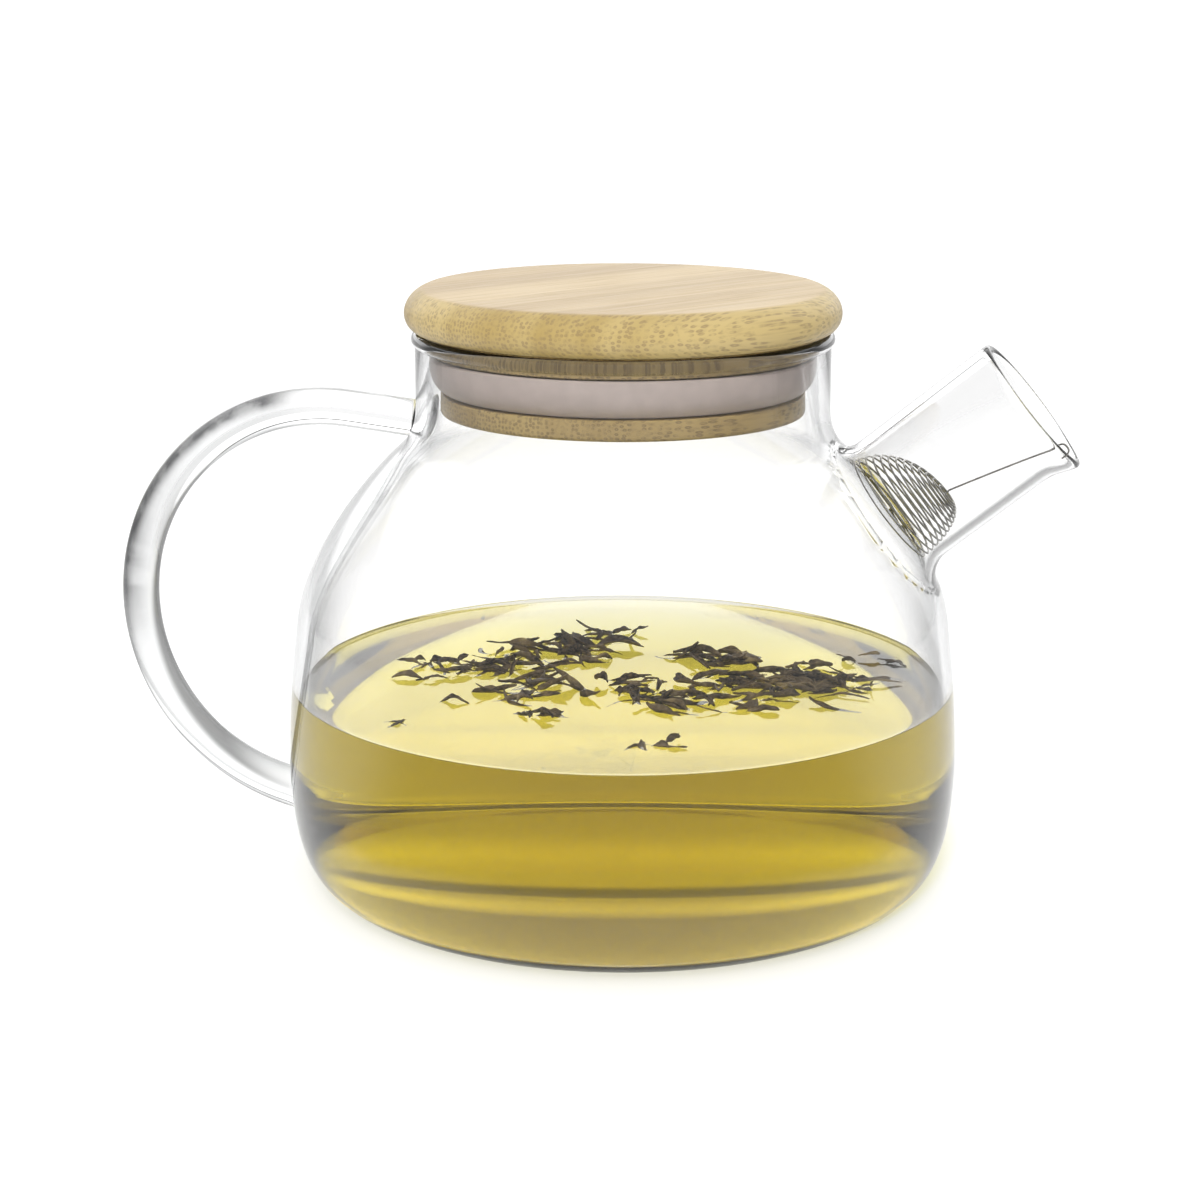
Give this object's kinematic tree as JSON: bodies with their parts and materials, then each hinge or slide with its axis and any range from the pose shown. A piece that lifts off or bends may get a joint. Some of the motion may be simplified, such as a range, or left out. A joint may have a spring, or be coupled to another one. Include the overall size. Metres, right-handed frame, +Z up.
{
  "type": "glass teapot",
  "caption": "Clear glass teapot with a tube spout, a rod handle, a bamboo plug lid with a silicone seal and a pull-out spring strainer.",
  "frame": {"origin": "middle of the underside of the base, on the pot's own axis", "axes": "+Z up along the pot's axis, +X out along the spout, the handle is on -X"},
  "size_m": [0.2019, 0.1394, 0.1229],
  "materials": {
    "glass": "clear, fire-polished",
    "bamboo": "sanded and oiled, satin",
    "silicone": "translucent grey-white, soft matt",
    "steel_wire": "bright drawn wire"
  },
  "bodies": {
    "pot": {"glass_body": "glass", "spout": "glass", "handle": "glass"},
    "lid": {"lid_cap": "bamboo", "lid_plug": "bamboo", "lid_seal": "silicone"},
    "strainer": {"strainer_coil": "steel_wire", "strainer_stem": "steel_wire"}
  },
  "joints": [
    {"name": "lid_lift", "type": "slide", "parent": "pot", "child": "lid", "axis": [0, 0, 1], "range_m": [0, 0.03]},
    {"name": "strainer_pull", "type": "slide", "parent": "pot", "child": "strainer", "axis": [0.7716, 0, 0.6361], "range_m": [0, 0.045]}
  ]
}
